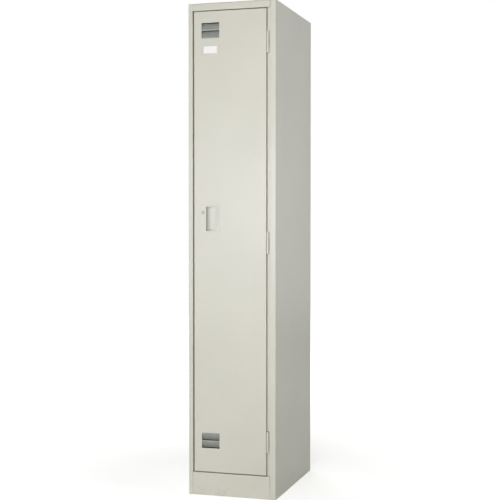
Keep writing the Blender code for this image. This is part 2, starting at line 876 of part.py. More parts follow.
def build_card_holder(door_axis):
    back = plate_back_y
    slot = card_thickness + 2 * seat_gap
    thickness = 2 * card_wall + slot
    middle_z = door_top - card_holder_drop - card_holder_height / 2
    outline = rounded_rectangle(card_holder_width, card_holder_height, card_holder_corner)
    holder = upright_plate("card_holder", outline, thickness, (fittings_x, back - thickness / 2, middle_z))
    as_part(holder, "pale_plastic", door_axis)
    half_window = card_holder_width / 2 - card_rail - card_grip
    half_slot = card_holder_width / 2 - card_rail
    slot_back = back - card_wall
    bottom = middle_z - card_holder_height / 2 + card_foot
    top = middle_z + card_holder_height / 2
    cut(holder, box_object(
        "card_slot", (fittings_x - half_slot, slot_back - slot, bottom),
        (fittings_x + half_slot, slot_back, top + overrun)))
    window_bottom = bottom + card_grip
    window_top = top - card_foot - card_grip / 2
    cut(holder, box_object(
        "card_window", (fittings_x - half_window, back - thickness - overrun, window_bottom),
        (fittings_x + half_window, slot_back - slot / 2, window_top)))
    card = box_object(
        "name_card",
        (fittings_x - half_slot + seat_gap, slot_back - seat_gap - card_thickness, bottom + seat_gap),
        (fittings_x + half_slot - seat_gap, slot_back - seat_gap, top - card_wall))
    as_part(card, "white_card", door_axis)


# Recessed pull: a scoop that deepens towards the lock side and runs in under its lip
def curve_point(start, first, second, end, share):
    rest = 1 - share
    return (start * rest ** 3 + first * 3 * rest ** 2 * share
            + second * 3 * rest * share ** 2 + end * share ** 3)


def scoop_section(left, right, undercut, lip, depth, front, corner_radius):
    # Plan view: right edge on the face, down the curved floor, round the undercut and up at the lip.
    span = right - left
    floor_left = left + span * cup_floor_left_share
    face = max(front, 0)
    handles = [Vector((right - span * share, face + (depth - face) * deep))
               for share, deep in cup_floor_shares]
    mouth = [Vector((right, front))] if front < face else []
    start = Vector((right, face))
    floor = [curve_point(start, handles[0], handles[1], Vector((floor_left, depth)), step / cup_curve_steps)
             for step in range(cup_curve_steps + 1)]
    corner = Vector((left - undercut, depth))
    wall = Vector((left - undercut, lip))
    side = rounded([floor[-1], corner, wall], corner_radius)
    edge = [Vector((left, lip))] if undercut else []
    return mouth + floor + side[1:] + edge + [Vector((left, front))]


def scoop_object(name, left, right, undercut, lip, depth, front, height, grow):
    # Sections along the height; the depth falls off on a round arc at each end.
    stations = []
    end_radius = cup_end_radius + grow
    flat = height / 2 - end_radius
    for step in range(cup_end_steps + 1):
        angle = math.radians(90) * step / cup_end_steps
        stations.append((flat + end_radius * math.sin(angle), end_radius * (1 - math.cos(angle))))
    levels = [(-place, loss) for place, loss in reversed(stations)] + stations
    bm = bmesh.new()
    rings = []
    for place, loss in levels:
        squeeze = (depth - loss - lip) / (depth - lip)
        ring = []
        for point in scoop_section(left, right, undercut, lip, depth, front, cup_corner + grow):
            inward = point.y if point.y <= lip else lip + (point.y - lip) * squeeze
            ring.append(bm.verts.new((point.x, plate_front_y + inward, place)))
        rings.append(ring)
    for low, high in zip(rings, rings[1:]):
        for count in range(len(low)):
            ahead = (count + 1) % len(low)
            bm.faces.new((low[count], low[ahead], high[ahead], high[count]))
    bm.faces.new(rings[0][::-1])
    bm.faces.new(rings[-1])
    bmesh.ops.recalc_face_normals(bm, faces=bm.faces)
    return object_from(bm, name, (0, 0, pull_height))


def build_pull(skin, door_axis):
    body_left = lock_x - boss_radius
    body_right = cup_right + cup_wall
    body_top = pull_height + cup_height / 2 + cup_wall
    body_bottom = pull_height - cup_height / 2 - cup_wall
    hole_left = body_left - pull_hole_clear
    hole_right = body_right + pull_hole_clear
    hole_top = body_top + pull_hole_clear
    hole_bottom = body_bottom - pull_hole_clear
    cut(skin, box_object(
        "pull_hole", (hole_left, face_y - overrun, hole_bottom),
        (hole_right, skin_back_y + overrun, hole_top)))
    plate_width = hole_right - hole_left + 2 * pull_plate_lap
    plate_height = hole_top - hole_bottom + 2 * pull_plate_end_lap
    plate_middle = (hole_left + hole_right) / 2
    bm = bmesh.new()
    bmesh.ops.create_cube(bm, size=1)
    bmesh.ops.scale(bm, vec=(plate_width, pull_plate_thickness, plate_height), verts=bm.verts)
    corners = [edge for edge in bm.edges if edge.verts[0].co.y * edge.verts[1].co.y < 0]
    bmesh.ops.bevel(bm, geom=corners, offset=pull_plate_corner, segments=bend_steps + 1, profile=0.5,
                    affect="EDGES")
    front = min(bm.faces, key=lambda face: face.calc_center_median().y)
    bmesh.ops.bevel(bm, geom=front.edges[:], offset=pull_plate_edge, segments=2, profile=0.5,
                    affect="EDGES")
    pull = object_from(bm, "pull_housing", (plate_middle, (plate_front_y + plate_back_y) / 2, pull_height))
    as_part(pull, "pale_plastic", door_axis)
    plate_half = pull_plate_thickness / 2
    join(pull, scoop_object(
        "pull_cup", cup_left - cup_undercut - cup_wall, cup_right + cup_wall, 0,
        pull_plate_thickness, cup_depth + cup_wall, plate_half, cup_height + 2 * cup_wall, cup_wall))
    boss_back = door_rear_y - lock_case_rear_clear
    join(pull, drum_object(
        "lock_boss", (lock_x, (plate_front_y + plate_half + boss_back) / 2, lock_z), boss_radius,
        boss_back - plate_front_y - plate_half))
    cut(pull, scoop_object(
        "pull_hollow", cup_left, cup_right, cup_undercut, cup_lip, cup_depth, -overrun, cup_height, 0))
    cut(pull, drum_object(
        "lock_bore", (lock_x, (face_y + door_rear_y) / 2, lock_z), bore_radius,
        door_thickness + 2 * overrun))
    cut(pull, drum_object(
        "lock_seat", (lock_x, plate_front_y, lock_z), case_rim_radius + seat_gap,
        2 * (case_rim + seat_gap)))


def build_lock(door_axis, lock_axis):
    front = plate_front_y
    length = cam_y - seat_gap - front
    inner = plug_radius + plug_clearance
    case = realised(turned_object(
        "case",
        [(case_rim_radius, 0), (case_rim_radius, -case_rim), (case_radius, -case_rim),
         (case_radius, -length), (inner, -length), (inner, 0)], closed=True))
    turn = (math.radians(90), 0, 0)
    place = (lock_x, front, lock_z)
    as_part(placed("lock_case", case, place, turn), "chrome_plate", door_axis)
    plug_mesh = realised(turned_object(
        "plug", [(0, 0), (plug_radius, 0), (plug_radius, -length), (0, -length)]))
    plug = as_part(placed("lock_plug", plug_mesh, place, turn), "chrome_plate", lock_axis)
    cut(plug, box_object(
        "keyway", (lock_x - keyway_width / 2, front - overrun, lock_z - keyway_height / 2),
        (lock_x + keyway_width / 2, front + keyway_depth, lock_z + keyway_height / 2)))
    screw_hole = cam_screw_radius + seat_gap
    screw_depth = cam_screw_length - cam_thickness
    cut(plug, drum_object(
        "screw_hole", (lock_x, cam_y - seat_gap, lock_z), screw_hole, 2 * (screw_depth + seat_gap)))
    # The cam hangs down when unlocked. Its outline is a round head that narrows to a square tip.
    half_cam = cam_width / 2
    head = [(half_cam * math.cos(math.radians(180) * step / roll_steps),
             half_cam * math.sin(math.radians(180) * step / roll_steps)) for step in range(roll_steps + 1)]
    outline = head + [(-half_cam, -cam_reach), (half_cam, -cam_reach)]
    cam = upright_plate("lock_cam", outline, cam_thickness, (lock_x, cam_y + cam_thickness / 2, lock_z))
    as_part(cam, "zinc_plate", lock_axis)
    cut(cam, drum_object("cam_hole", (lock_x, cam_y, lock_z), screw_hole, 2 * (cam_thickness + overrun)))
    head_y = cam_y + cam_thickness + seat_gap
    screw = realised(turned_object(
        "screw",
        [(0, cam_screw_length), (cam_screw_radius, cam_screw_length), (cam_screw_radius, 0),
         (cam_screw_head_radius, 0), (cam_screw_head_radius, -cam_screw_head), (0, -cam_screw_head)]))
    as_part(placed("cam_screw", screw, (lock_x, head_y, lock_z), turn), "zinc_plate", lock_axis)


# Fittings inside the door
def build_mirror(crown_back_y, door_axis):
    outer_width = mirror_width + 2 * (mirror_border + seat_gap)
    outer_height = mirror_height + 2 * (mirror_border + seat_gap)
    depth = mirror_back + seat_gap + mirror_glass_thickness
    seat_y = crown_back_y + seat_gap
    outline = rounded_rectangle(outer_width, outer_height, mirror_corner)
    frame = upright_plate("mirror_frame", outline, depth, (0, seat_y + depth / 2, mirror_z))
    as_part(frame, "grey_plastic", door_axis)
    glass_y = seat_y + mirror_back + seat_gap
    half_wide = mirror_width / 2
    half_high = mirror_height / 2
    cut(frame, box_object(
        "mirror_pocket",
        (-half_wide - seat_gap, seat_y + mirror_back, mirror_z - half_high - seat_gap),
        (half_wide + seat_gap, glass_y + mirror_glass_thickness + overrun,
         mirror_z + half_high + seat_gap)))
    glass = box_object(
        "mirror_glass", (-half_wide, glass_y, mirror_z - half_high),
        (half_wide, glass_y + mirror_glass_thickness, mirror_z + half_high))
    as_part(glass, "mirror_glass", door_axis)


def build_towel_bar(door_axis):
    seat_y = skin_back_y + seat_gap
    start_y = seat_y + towel_pad_thickness / 2
    bar_y = seat_y + towel_bar_reach
    left = -towel_bar_length / 2 - towel_bar_shift
    right = towel_bar_length / 2 - towel_bar_shift
    half_pad = towel_pad / 2
    route = rounded(
        [(left, start_y, towel_bar_z), (left, bar_y, towel_bar_z),
         (right, bar_y, towel_bar_z), (right, start_y, towel_bar_z)],
        towel_bar_corner, wire_bend_steps)
    bar = wire_object("towel_bar", route, towel_wire_radius)
    as_part(bar, "chrome_plate", door_axis)
    for name, end in (("left_pad", left), ("right_pad", right)):
        join(bar, box_object(
            name, (end - half_pad, seat_y, towel_bar_z - half_pad),
            (end + half_pad, seat_y + towel_pad_thickness, towel_bar_z + half_pad)))


# Loose tray on the floor, under the umbrella ring
def build_drip_tray(tray_axis):
    width = ring_reach + tray_margin
    length = ring_length + 2 * tray_margin
    bm = bmesh.new()
    bmesh.ops.create_cube(bm, size=1)
    bmesh.ops.scale(bm, vec=(width, length, tray_height), verts=bm.verts)
    for vert in bm.verts:
        if vert.co.z < 0:
            vert.co.x -= math.copysign(tray_taper, vert.co.x)
            vert.co.y -= math.copysign(tray_taper, vert.co.y)
    upright = [edge for edge in bm.edges if edge.verts[0].co.z * edge.verts[1].co.z < 0]
    bmesh.ops.bevel(bm, geom=upright, offset=tray_corner, segments=bend_steps + 1, profile=0.5,
                    affect="EDGES")
    top = max(bm.faces, key=lambda face: face.calc_center_median().z)
    bmesh.ops.delete(bm, geom=[top], context="FACES_ONLY")
    rim = [edge for edge in bm.edges if edge.is_boundary]
    grown = bmesh.ops.extrude_edge_only(bm, edges=rim)["geom"]
    fresh = [item for item in grown if isinstance(item, bmesh.types.BMVert)]
    stretch = Vector((1 + 2 * tray_rim / width, 1 + 2 * tray_rim / length, 1))
    bmesh.ops.scale(bm, vec=stretch, verts=fresh)
    middle = Vector((tray_rim + seat_gap + width / 2 - wall_x, inside_front_y + ring_front_inset,
                     kick_height + seat_gap + tray_height / 2))
    tray = object_from(bm, "drip_tray", middle)
    as_part(thicken(tray, tray_wall), "grey_plastic", tray_axis)


def axis_empty(name, location, parent=None):
    empty = bpy.data.objects.new(name, None)
    empty.location = location
    locker.objects.link(empty)
    hang(empty, parent)
    return empty


left_side = build_side_panels()
build_top_panel()
build_front_rails()
build_back_panel()
build_floor_and_base()
build_hat_shelf()
build_hanger_rod()
build_coat_hooks()
build_umbrella_ring()
build_catch_and_bumpers(left_side)
door_pivot = axis_empty("door_axis", (axis_x, axis_y, 0))
build_hinges(door_pivot)
door = build_door_skin(door_pivot)
stiffener_back = build_stiffener(door_pivot)
build_vent("upper_vent", door_top - upper_vent_drop - vent_height, -1, door, door_pivot)
build_vent("lower_vent", door_bottom + lower_vent_rise, 1, door, door_pivot)
build_card_holder(door_pivot)
build_pull(door, door_pivot)
lock_pivot = axis_empty("lock_axis", (lock_x, cam_y, lock_z), door_pivot)
build_lock(door_pivot, lock_pivot)
build_mirror(stiffener_back, door_pivot)
build_towel_bar(door_pivot)
build_drip_tray(axis_empty("tray_lift", (0, 0, kick_height)))
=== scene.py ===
import json
import math

import bmesh
import bpy
from mathutils import Matrix, Vector


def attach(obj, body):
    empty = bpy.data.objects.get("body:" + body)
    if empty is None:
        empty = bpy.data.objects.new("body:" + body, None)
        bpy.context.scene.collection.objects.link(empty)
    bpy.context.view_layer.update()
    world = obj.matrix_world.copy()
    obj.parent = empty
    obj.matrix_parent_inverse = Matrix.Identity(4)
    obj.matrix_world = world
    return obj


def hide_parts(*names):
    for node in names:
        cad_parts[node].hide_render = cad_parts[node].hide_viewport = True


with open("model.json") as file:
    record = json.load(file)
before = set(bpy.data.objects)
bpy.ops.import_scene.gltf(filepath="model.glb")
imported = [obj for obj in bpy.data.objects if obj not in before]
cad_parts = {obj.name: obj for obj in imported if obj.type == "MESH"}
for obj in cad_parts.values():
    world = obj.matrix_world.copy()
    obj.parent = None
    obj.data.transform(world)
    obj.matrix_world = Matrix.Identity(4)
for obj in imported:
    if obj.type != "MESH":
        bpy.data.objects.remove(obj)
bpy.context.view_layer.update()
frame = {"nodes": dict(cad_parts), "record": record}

scene = bpy.context.scene
nodes = frame["nodes"]
print("frame loaded with", len(nodes), "nodes")

# Camera, as the photograph stands to the locker: from its right, at chest height
cameraSet = {
    "azimuth": 17.10,
    "elevation": 1.473,
    "distance": 4.2981,
    "aim": Vector((-0.0076, -0.0075, 0.8916)),
    "lens": 80.895,
}


def placeCamera(values):
    azimuth = math.radians(values["azimuth"])
    elevation = math.radians(values["elevation"])
    away = Vector((math.sin(azimuth) * math.cos(elevation),
                   -math.cos(azimuth) * math.cos(elevation),
                   math.sin(elevation)))
    lensData = bpy.data.cameras.new("photoCamera")
    lensData.lens = values["lens"]
    camera = bpy.data.objects.new("photoCamera", lensData)
    scene.collection.objects.link(camera)
    camera.location = values["aim"] + away * values["distance"]
    camera.rotation_euler = (-away).to_track_quat("-Z", "Y").to_euler()
    scene.camera = camera


placeCamera(cameraSet)
scene.view_settings.view_transform = "Standard"
print("camera placed")


# Materials
def linearColour(code):
    channels = [int(code[place:place + 2], 16) / 255 for place in (1, 3, 5)]
    return [c / 12.92 if c <= 0.04045 else ((c + 0.055) / 1.055) ** 2.4 for c in channels] + [1]


def addNode(tree, kind, settings=None, links=None):
    # A setting whose key is an input of the node sets that input. The others set the node itself.
    node = tree.nodes.new(kind)
    for key, value in (settings or {}).items():
        if isinstance(key, int) or key in node.inputs:
            node.inputs[key].default_value = value
        else:
            setattr(node, key, value)
    for key, source in (links or {}).items():
        tree.links.new(source, node.inputs[key])
    return node


def startMaterial(name):
    material = bpy.data.materials.new(name)
    material.use_nodes = True
    tree = material.node_tree
    shader = tree.nodes["Principled BSDF"]
    place = addNode(tree, "ShaderNodeTexCoord").outputs["Object"]
    return material, tree, shader, place


def noiseAt(tree, place, millimetres, detail=2.0, stretch=None):
    # A noise whose lumps are this many millimetres across
    if stretch:
        place = addNode(tree, "ShaderNodeMapping", {"Scale": stretch}, {"Vector": place}).outputs[0]
    settings = {"Scale": 1000 / millimetres, "Detail": detail}
    return addNode(tree, "ShaderNodeTexNoise", settings, {"Vector": place}).outputs["Fac"]


def rangeOf(tree, value, low, high, fromLow=0.3, fromHigh=0.7):
    settings = {1: fromLow, 2: fromHigh, 3: low, 4: high}
    return addNode(tree, "ShaderNodeMapRange", settings, {0: value}).outputs[0]


def alongAxis(tree, vector, axis):
    # One of the three parts of a vector, 0 for X to 2 for Z
    return addNode(tree, "ShaderNodeSeparateXYZ", None, {0: vector}).outputs[axis]


def product(tree, first, second):
    links = {0: first, 1: second}
    return addNode(tree, "ShaderNodeMath", {"operation": "MULTIPLY"}, links).outputs[0]


def largest(tree, first, second):
    links = {0: first, 1: second}
    return addNode(tree, "ShaderNodeMath", {"operation": "MAXIMUM"}, links).outputs[0]


def colourMix(tree, fraction, first, second):
    # First and second are hex codes or colour outputs
    node = addNode(tree, "ShaderNodeMix", {"data_type": "RGBA"}, {0: fraction})
    for slot, colour in ((6, first), (7, second)):
        if isinstance(colour, str):
            node.inputs[slot].default_value = linearColour(colour)
        else:
            tree.links.new(colour, node.inputs[slot])
    return node.outputs[2]


def bumpOn(tree, height, depth, below=None):
    links = {"Height": height}
    if below:
        links["Normal"] = below
    return addNode(tree, "ShaderNodeBump", {"Distance": depth}, links).outputs[0]


# Baked enamel on cold-rolled steel sheet: even, half-gloss, with orange peel and slow waves in the
# sheet. Real orange peel is 1 to 2 mm across, drawn coarser here so that it shows.
enamelSet = {
    "pale": "#d9d7c9",
    "deep": "#d4d2c4",
    "dusty": "#cbc8ba",
    "scuffed": "#bfbdb0",
    "roughness": (0.28, 0.36),
    "ior": 1.52,
    "cloudSize": 260,
    "mottleSize": 18,
    "peelSize": 5,
    "peelDepth": 0.00003,
    "waveSize": 240,
    "waveDepth": 0.0007,
    "dustShare": 0.5,
    "dustFrom": 0.7,
    "scuffShare": 0.55,
    "scuffHeight": 0.10,
    "streakSize": 30,
    "streakStretch": (1, 1, 4),
    "streakBand": (0.56, 0.74),
}
# The vents are sprayed a duller grey
ventSet = dict(enamelSet, pale="#a9ada4", deep="#9da198", dusty="#92948c", scuffed="#8f928a",
               roughness=(0.36, 0.46), cloudSize=40)


def bakedEnamel(name, values):
    material, tree, shader, place = startMaterial(name)
    clouds = noiseAt(tree, place, values["cloudSize"], 3.0)
    mottle = noiseAt(tree, place, values["mottleSize"], 4.0)
    tone = colourMix(tree, rangeOf(tree, clouds, 0, 1), values["pale"], values["deep"])
    # Dust lies on what faces up
    facing = addNode(tree, "ShaderNodeNewGeometry").outputs["Normal"]
    upward = alongAxis(tree, facing, 2)
    settled = rangeOf(tree, upward, 0, values["dustShare"], values["dustFrom"], 1.0)
    dust = product(tree, settled, rangeOf(tree, mottle, 0.2, 1))
    tone = colourMix(tree, dust, tone, values["dusty"])
    # Shoes scuff the foot of the cabinet
    height = alongAxis(tree, place, 2)
    nearFloor = rangeOf(tree, height, values["scuffShare"], 0, 0.0, values["scuffHeight"])
    smudges = noiseAt(tree, place, values["streakSize"], 5.0, values["streakStretch"])
    scuffs = product(tree, nearFloor, rangeOf(tree, smudges, 0, 1, *values["streakBand"]))
    tone = colourMix(tree, scuffs, tone, values["scuffed"])
    tree.links.new(tone, shader.inputs["Base Color"])
    tree.links.new(rangeOf(tree, mottle, *values["roughness"]), shader.inputs["Roughness"])
    shader.inputs["IOR"].default_value = values["ior"]
    waves = bumpOn(tree, noiseAt(tree, place, values["waveSize"], 1.0), values["waveDepth"])
    peel = bumpOn(tree, noiseAt(tree, place, values["peelSize"], 2.0), values["peelDepth"], waves)
    tree.links.new(peel, shader.inputs["Normal"])
    return material


# Bright zinc plating on mild steel: cold grey, satin, with a faint crystal spangle
zincSet = {
    "pale": "#c2c5c7",
    "deep": "#aeb2b5",
    "spangleSize": 5,
    "roughness": (0.28, 0.40),
    "brushSize": 3,
    "brushStretch": (1, 1, 0.15),
    "brushDepth": 0.00002,
}


def zincPlatedSteel(name, values):
    material, tree, shader, place = startMaterial(name)
    scale = {"Scale": 1000 / values["spangleSize"]}
    cells = addNode(tree, "ShaderNodeTexVoronoi", scale, {"Vector": place}).outputs["Color"]
    grey = addNode(tree, "ShaderNodeSeparateColor", None, {0: cells}).outputs[0]
    tone = colourMix(tree, grey, values["pale"], values["deep"])
    tree.links.new(tone, shader.inputs["Base Color"])
    tree.links.new(rangeOf(tree, grey, *values["roughness"], 0, 1), shader.inputs["Roughness"])
    shader.inputs["Metallic"].default_value = 1
    brushed = noiseAt(tree, place, values["brushSize"], 3.0, values["brushStretch"])
    tree.links.new(bumpOn(tree, brushed, values["brushDepth"]), shader.inputs["Normal"])
    return material


# Chromium plate on polished steel: bright, with faint handling smears. The lock's plate is satin,
# and dulled by keys.
chromeSet = {
    "pale": "#dfe1e3",
    "deep": "#cfd2d4",
    "roughness": (0.08, 0.17),
    "smearSize": 14,
    "polishSize": 2,
    "polishDepth": 0.000008,
}
satinSet = dict(chromeSet, pale="#96988f", deep="#7d7f76", roughness=(0.30, 0.44), smearSize=3)


def platedSteel(name, values):
    material, tree, shader, place = startMaterial(name)
    smears = noiseAt(tree, place, values["smearSize"], 4.0)
    tone = colourMix(tree, rangeOf(tree, smears, 0, 1), values["pale"], values["deep"])
    tree.links.new(tone, shader.inputs["Base Color"])
    tree.links.new(rangeOf(tree, smears, *values["roughness"]), shader.inputs["Roughness"])
    shader.inputs["Metallic"].default_value = 1
    polish = noiseAt(tree, place, values["polishSize"], 2.0)
    tree.links.new(bumpOn(tree, polish, values["polishDepth"]), shader.inputs["Normal"])
    return material


# Moulded plastics: ABS with a fine spark-eroded grain, and a softer polypropylene
absSet = {
    "pale": "#dad9cd",
    "deep": "#d2d0c4",
    "roughness": (0.40, 0.50),
    "grainSize": 1.4,
    "grainDepth": 0.00003,
    "flow": 60,
    "ior": 1.53,
}
polypropyleneSet = {
    "pale": "#a3a6a3",
    "deep": "#949793",
    "roughness": (0.48, 0.60),
    "grainSize": 2.0,
    "grainDepth": 0.00005,
    "flow": 40,
    "ior": 1.49,
}
# The pull's pan is painted paler than its face, a painted highlight on its shaded floor, and
# painted shade darkens it under its lip
pullSet = dict(absSet, pan="#eeeee7", panFrom=-0.2568, panTo=-0.2535, lipShadeColour="#b7b7ab",
               lipShadeSize=9, lipFrom=-0.097, lipTo=-0.0765)


def paintedPanLightAndShade(tree, place, tone, values):
    # The pan is all that lies behind the face and doesn't look back into the door
    behind = rangeOf(tree, alongAxis(tree, place, 1), 0, 1, values["panFrom"], values["panTo"])
    ownNormal = addNode(tree, "ShaderNodeTexCoord").outputs["Normal"]
    outward = rangeOf(tree, alongAxis(tree, ownNormal, 1), 1, 0, 0.2, 0.5)
    inPan = product(tree, behind, outward)
    # Painted highlight: the pan gets the paler colour
    tone = colourMix(tree, inPan, tone, values["pan"])
    # Painted shade under the lip, darkest at the lip, fading to the right and patchy
    byLip = rangeOf(tree, alongAxis(tree, place, 0), 1, 0, values["lipFrom"], values["lipTo"])
    patchy = rangeOf(tree, noiseAt(tree, place, values["lipShadeSize"], 4.0), 0.84, 1)
    shadeUnderLip = product(tree, product(tree, byLip, inPan), patchy)
    return colourMix(tree, shadeUnderLip, tone, values["lipShadeColour"])


def mouldedPlastic(name, values):
    material, tree, shader, place = startMaterial(name)
    flow = noiseAt(tree, place, values["flow"], 2.0, (1, 1, 0.5))
    tone = colourMix(tree, rangeOf(tree, flow, 0, 1), values["pale"], values["deep"])
    # A pull gets painted light and painted shade in its pan
    if "lipShadeColour" in values:
        tone = paintedPanLightAndShade(tree, place, tone, values)
    tree.links.new(tone, shader.inputs["Base Color"])
    tree.links.new(rangeOf(tree, flow, *values["roughness"]), shader.inputs["Roughness"])
    shader.inputs["IOR"].default_value = values["ior"]
    grain = noiseAt(tree, place, values["grainSize"], 3.0)
    tree.links.new(bumpOn(tree, grain, values["grainDepth"]), shader.inputs["Normal"])
    return material


# Nitrile rubber, moulded: near black, dry, with a powdery bloom
rubberSet = {
    "pale": "#3a3a39",
    "deep": "#232323",
    "roughness": (0.72, 0.9),
    "bloomSize": 3,
    "grainSize": 0.8,
    "grainDepth": 0.00003,
}


def nitrileRubber(name, values):
    material, tree, shader, place = startMaterial(name)
    bloom = noiseAt(tree, place, values["bloomSize"], 5.0)
    tone = colourMix(tree, rangeOf(tree, bloom, 0, 1), values["deep"], values["pale"])
    tree.links.new(tone, shader.inputs["Base Color"])
    tree.links.new(rangeOf(tree, bloom, *values["roughness"]), shader.inputs["Roughness"])
    grain = noiseAt(tree, place, values["grainSize"], 3.0)
    tree.links.new(bumpOn(tree, grain, values["grainDepth"]), shader.inputs["Normal"])
    return material


# Wove card: bright white with a faint fibre
cardSet = {
    "pale": "#fffefa",
    "deep": "#faf9f2",
    "roughness": 0.88,
    "fibreSize": 1.2,
    "fibreStretch": (1, 1, 2.5),
    "fibreDepth": 0.00002,
}


def woveCard(name, values):
    material, tree, shader, place = startMaterial(name)
    fibre = noiseAt(tree, place, values["fibreSize"], 6.0, values["fibreStretch"])
    tone = colourMix(tree, rangeOf(tree, fibre, 0, 1), values["pale"], values["deep"])
    tree.links.new(tone, shader.inputs["Base Color"])
    shader.inputs["Roughness"].default_value = values["roughness"]
    tree.links.new(bumpOn(tree, fibre, values["fibreDepth"]), shader.inputs["Normal"])
    return material


# Silvered float glass: a sharp mirror with finger smears
mirrorSet = {
    "pale": "#e9eeec",
    "deep": "#dfe6e3",
    "roughness": (0.02, 0.07),
    "smearSize": 35,
    "smearBand": (0.45, 0.75),
}


def silveredGlass(name, values):
    material, tree, shader, place = startMaterial(name)
    smears = noiseAt(tree, place, values["smearSize"], 5.0)
    tone = colourMix(tree, rangeOf(tree, smears, 0, 1), values["pale"], values["deep"])
    tree.links.new(tone, shader.inputs["Base Color"])
    gloss = rangeOf(tree, smears, *values["roughness"], *values["smearBand"])
    tree.links.new(gloss, shader.inputs["Roughness"])
    shader.inputs["Metallic"].default_value = 1
    return material


# Sintered ferrite magnet: dark, dull and granular
ferriteSet = {
    "pale": "#4a4744",
    "deep": "#312f2d",
    "roughness": (0.5, 0.75),
    "gritSize": 0.9,
    "gritDepth": 0.00004,
}


def sinteredFerrite(name, values):
    material, tree, shader, place = startMaterial(name)
    grit = noiseAt(tree, place, values["gritSize"], 5.0)
    tone = colourMix(tree, rangeOf(tree, grit, 0, 1), values["deep"], values["pale"])
    tree.links.new(tone, shader.inputs["Base Color"])
    tree.links.new(rangeOf(tree, grit, *values["roughness"]), shader.inputs["Roughness"])
    tree.links.new(bumpOn(tree, grit, values["gritDepth"]), shader.inputs["Normal"])
    return material


ivoryEnamel = bakedEnamel("bakedIvoryEnamel", enamelSet)
greyEnamel = bakedEnamel("bakedGreyEnamel", ventSet)
zincPlate = zincPlatedSteel("zincPlatedSteel", zincSet)
chromePlate = platedSteel("chromedSteel", chromeSet)
satinChrome = platedSteel("satinChromePlate", satinSet)
ivoryAbs = mouldedPlastic("mouldedIvoryAbs", absSet)
# The pull's plastic carries painted light and painted shade in its pan
pullAbsPaintedLight = mouldedPlastic("pullIvoryAbsPaintedLight", pullSet)
greyPolypropylene = mouldedPlastic("mouldedGreyPolypropylene", polypropyleneSet)
blackRubber = nitrileRubber("nitrileRubber", rubberSet)
whiteCard = woveCard("woveCard", cardSet)
mirrorGlass = silveredGlass("silveredGlass", mirrorSet)
darkFerrite = sinteredFerrite("sinteredFerrite", ferriteSet)
print("materials made")

# Cabinet, door, lock and tray: each CAD solid is drawn again with smooth folds and softened edges
finishes = [
    (ivoryEnamel, ["left_side_panel", "right_side_panel", "back_panel", "top_panel", "head_rail",
                   "kick_plate", "floor_panel", "rear_base_rail", "hat_shelf",
                   "base_gusset_front_left", "base_gusset_front_right", "base_gusset_rear_left",
                   "base_gusset_rear_right", "door_skin", "door_stiffener"]),
    (greyEnamel, ["upper_vent", "lower_vent"]),
    (zincPlate, ["shelf_clip_front_left", "shelf_clip_front_right", "shelf_clip_rear_left",
                 "shelf_clip_rear_right", "rod_socket_left", "rod_socket_right", "lock_cam",
                 "cam_screw"]),
    (chromePlate, ["hanger_rod", "coat_hook_left", "coat_hook_right", "umbrella_ring",
                   "towel_bar"]),
    (satinChrome, ["lock_case", "lock_plug"]),
    (pullAbsPaintedLight, ["pull_housing"]),
    (ivoryAbs, ["catch_case", "card_holder"]),
    (greyPolypropylene, ["mirror_frame", "drip_tray"]),
    (blackRubber, ["door_bumper_lower", "door_bumper_upper"]),
    (whiteCard, ["name_card"]),
    (mirrorGlass, ["mirror_glass"]),
    (darkFerrite, ["catch_magnet"]),
]
for place in ("lower", "middle", "upper"):
    finishes.append((ivoryEnamel, ["door_hinge_leaf_" + place, "frame_hinge_leaf_" + place]))
    finishes.append((zincPlate, ["hinge_pin_" + place]))
finishOf = {name: material for material, names in finishes for name in names}

dressSet = {
    "mergeDistance": 0.00001,
    "flatAngle": 0.5,
    "cornerAngle": 40,
    "sharpAngle": 38,
    "edgeSegments": 2,
    "softEdge": {"pull_housing": 0.0005, "card_holder": 0.00015, "catch_case": 0.0004,
                 "mirror_frame": 0.0006, "lock_cam": 0.0003, "drip_tray": 0.0004,
                 "door_bumper_lower": 0.0004, "door_bumper_upper": 0.0004},
}


def dressNode(name, material, values):
    bm = bmesh.new()
    bm.from_mesh(nodes[name].data)
    bmesh.ops.remove_doubles(bm, verts=bm.verts, dist=values["mergeDistance"])
    bmesh.ops.dissolve_limit(bm, angle_limit=math.radians(values["flatAngle"]), verts=bm.verts,
                             edges=bm.edges)
    if name in values["softEdge"]:
        bend = math.radians(values["cornerAngle"])
        corners = [side for side in bm.edges
                   if len(side.link_faces) == 2 and side.calc_face_angle() > bend]
        bmesh.ops.bevel(bm, geom=corners, offset=values["softEdge"][name],
                        segments=values["edgeSegments"], profile=0.5, affect="EDGES",
                        clamp_overlap=True, material=-1)
    mesh = bpy.data.meshes.new(name + "Dressed")
    bm.to_mesh(mesh)
    bm.free()
    mesh.shade_smooth()
    mesh.set_sharp_from_angle(angle=math.radians(values["sharpAngle"]))
    mesh.materials.append(material)
    piece = bpy.data.objects.new(name + "Dressed", mesh)
    scene.collection.objects.link(piece)
    even = piece.modifiers.new("evenShading", "WEIGHTED_NORMAL")
    even.keep_sharp = True
    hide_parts(name)
    return piece


bodyOf = {member: body for body, members in frame["record"]["behaviour"]["bodies"].items()
          for member in members}
for name, material in finishOf.items():
    dressed = dressNode(name, material, dressSet)
    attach(dressed, bodyOf[name])
    for holder in nodes[name].material_slots:
        holder.material = material
print("sheet metal and fittings dressed:", len(finishOf))

# Rivets and spot welds, as turned heads that stand on a face
headSet = {"steps": 20, "mergeDistance": 0.000002, "sharpAngle": 45}


def boxOf(name):
    corners = [nodes[name].matrix_world @ vert.co for vert in nodes[name].data.vertices]
    return (Vector([min(corner[axis] for corner in corners) for axis in range(3)]),
            Vector([max(corner[axis] for corner in corners) for axis in range(3)]))


